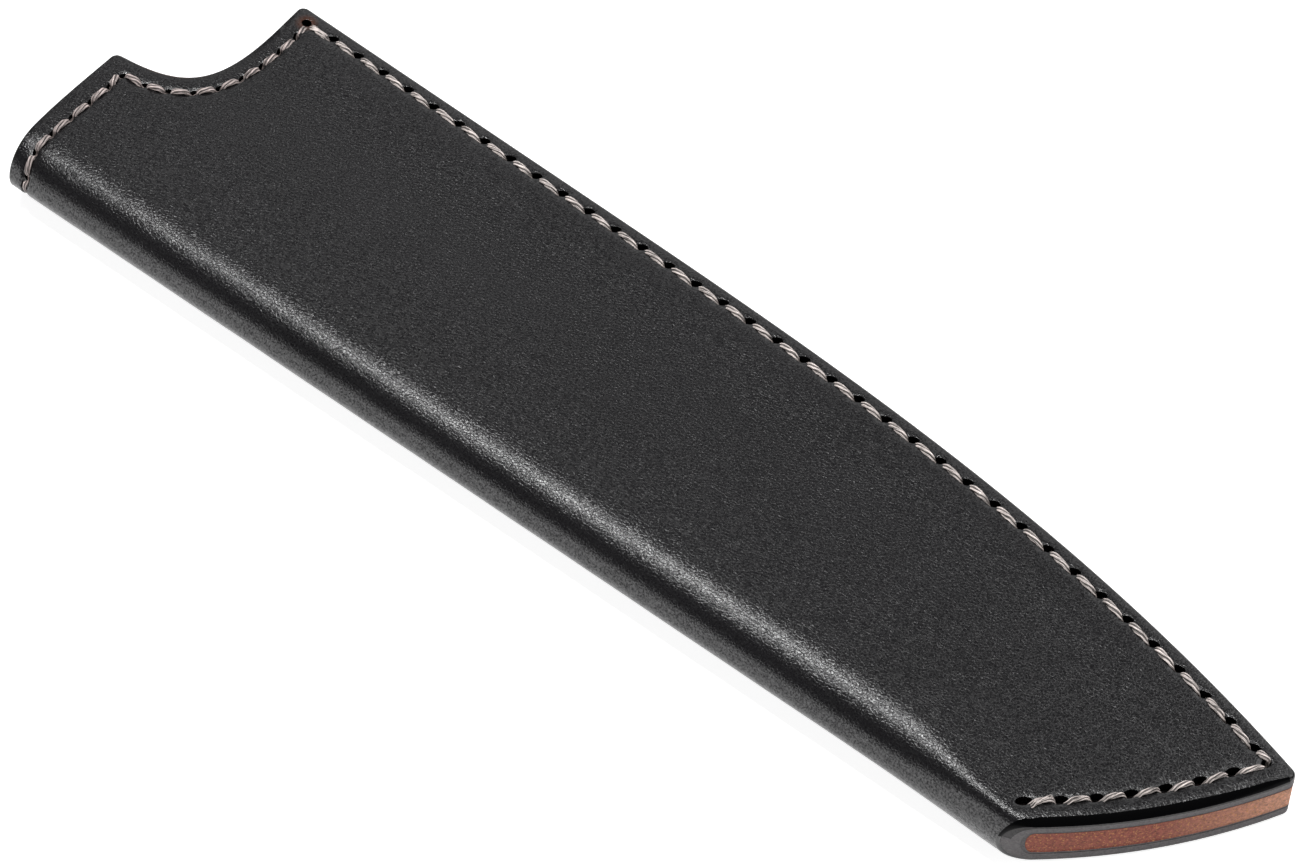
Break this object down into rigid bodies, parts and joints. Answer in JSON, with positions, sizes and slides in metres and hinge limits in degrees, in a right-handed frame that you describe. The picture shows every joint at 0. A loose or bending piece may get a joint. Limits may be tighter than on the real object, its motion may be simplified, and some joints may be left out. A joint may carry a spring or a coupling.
{
  "type": "knife blade guard",
  "caption": "Folded leather sleeve for a chef's knife blade, stitched along the cutting edge and tip, open at the mouth with a curved finger notch.",
  "frame": {"origin": "middle of the guard's box, on the back face that it lies on", "axes": "+X along the fold from the mouth to the tip, +Y from the fold to the stitched edge, +Z out of the front panel"},
  "size_m": [0.2022, 0.0497, 0.0092],
  "materials": {
    "cover_leather": "fine-grained satin, burnished edges",
    "lining_leather": "matte suede",
    "welt_leather": "raw cut edge",
    "thread": "waxed twisted thread"
  },
  "bodies": {
    "root": {"cover": "cover_leather", "lining": "lining_leather", "welt": "welt_leather", "edge_thread": "thread", "mouth_thread": "thread"}
  },
  "joints": []
}
